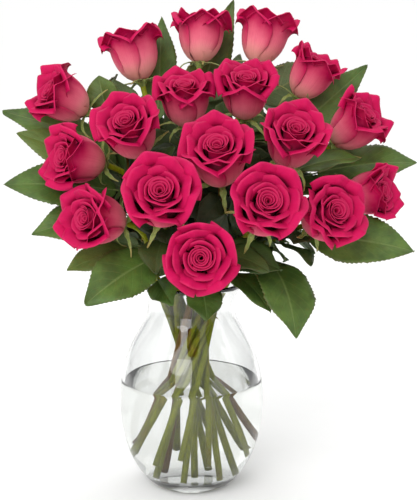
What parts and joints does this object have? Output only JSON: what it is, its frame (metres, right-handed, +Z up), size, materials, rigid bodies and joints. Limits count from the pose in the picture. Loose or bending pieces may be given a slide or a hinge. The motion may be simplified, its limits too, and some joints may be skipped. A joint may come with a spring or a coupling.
{
  "type": "roses in a vase",
  "caption": "Bouquet of open pink roses with green leaves, standing in a waisted clear glass vase part filled with water.",
  "frame": {"origin": "middle of the vase's flat foot, on the surface that it stands on", "axes": "+Z up along the vase's axis, -Y towards the bouquet's front, +X to the right seen from the front"},
  "size_m": [0.3509, 0.2765, 0.4138],
  "materials": {
    "vase_glass": "polished",
    "water": "polished",
    "stem": "satin",
    "petals": "matte",
    "leaf": "satin"
  },
  "bodies": {
    "root": {"vase": "vase_glass", "water": "water", "stem_01": "stem", "stem_02": "stem", "stem_03": "stem", "stem_04": "stem", "stem_05": "stem", "stem_06": "stem", "stem_07": "stem", "stem_08": "stem", "stem_09": "stem", "stem_10": "stem", "stem_11": "stem", "stem_12": "stem", "stem_13": "stem", "stem_14": "stem", "stem_15": "stem", "stem_16": "stem", "stem_17": "stem", "stem_18": "stem", "bloom_01": "petals", "bloom_02": "petals", "bloom_03": "petals", "bloom_04": "petals", "bloom_05": "petals", "bloom_06": "petals", "bloom_07": "petals", "bloom_08": "petals", "bloom_09": "petals", "bloom_10": "petals", "bloom_11": "petals", "bloom_12": "petals", "bloom_13": "petals", "bloom_14": "petals", "bloom_15": "petals", "bloom_16": "petals", "bloom_17": "petals", "bloom_18": "petals", "leaf_01": "leaf", "leaf_02": "leaf", "leaf_03": "leaf", "leaf_04": "leaf", "leaf_05": "leaf", "leaf_06": "leaf", "leaf_07": "leaf", "leaf_08": "leaf", "leaf_09": "leaf", "leaf_10": "leaf", "leaf_11": "leaf", "leaf_12": "leaf", "leaf_13": "leaf", "leaf_14": "leaf", "leaf_15": "leaf", "leaf_16": "leaf", "leaf_17": "leaf", "leaf_18": "leaf", "leaf_19": "leaf", "leaf_20": "leaf", "leaf_21": "leaf", "leaf_22": "leaf"}
  },
  "joints": []
}
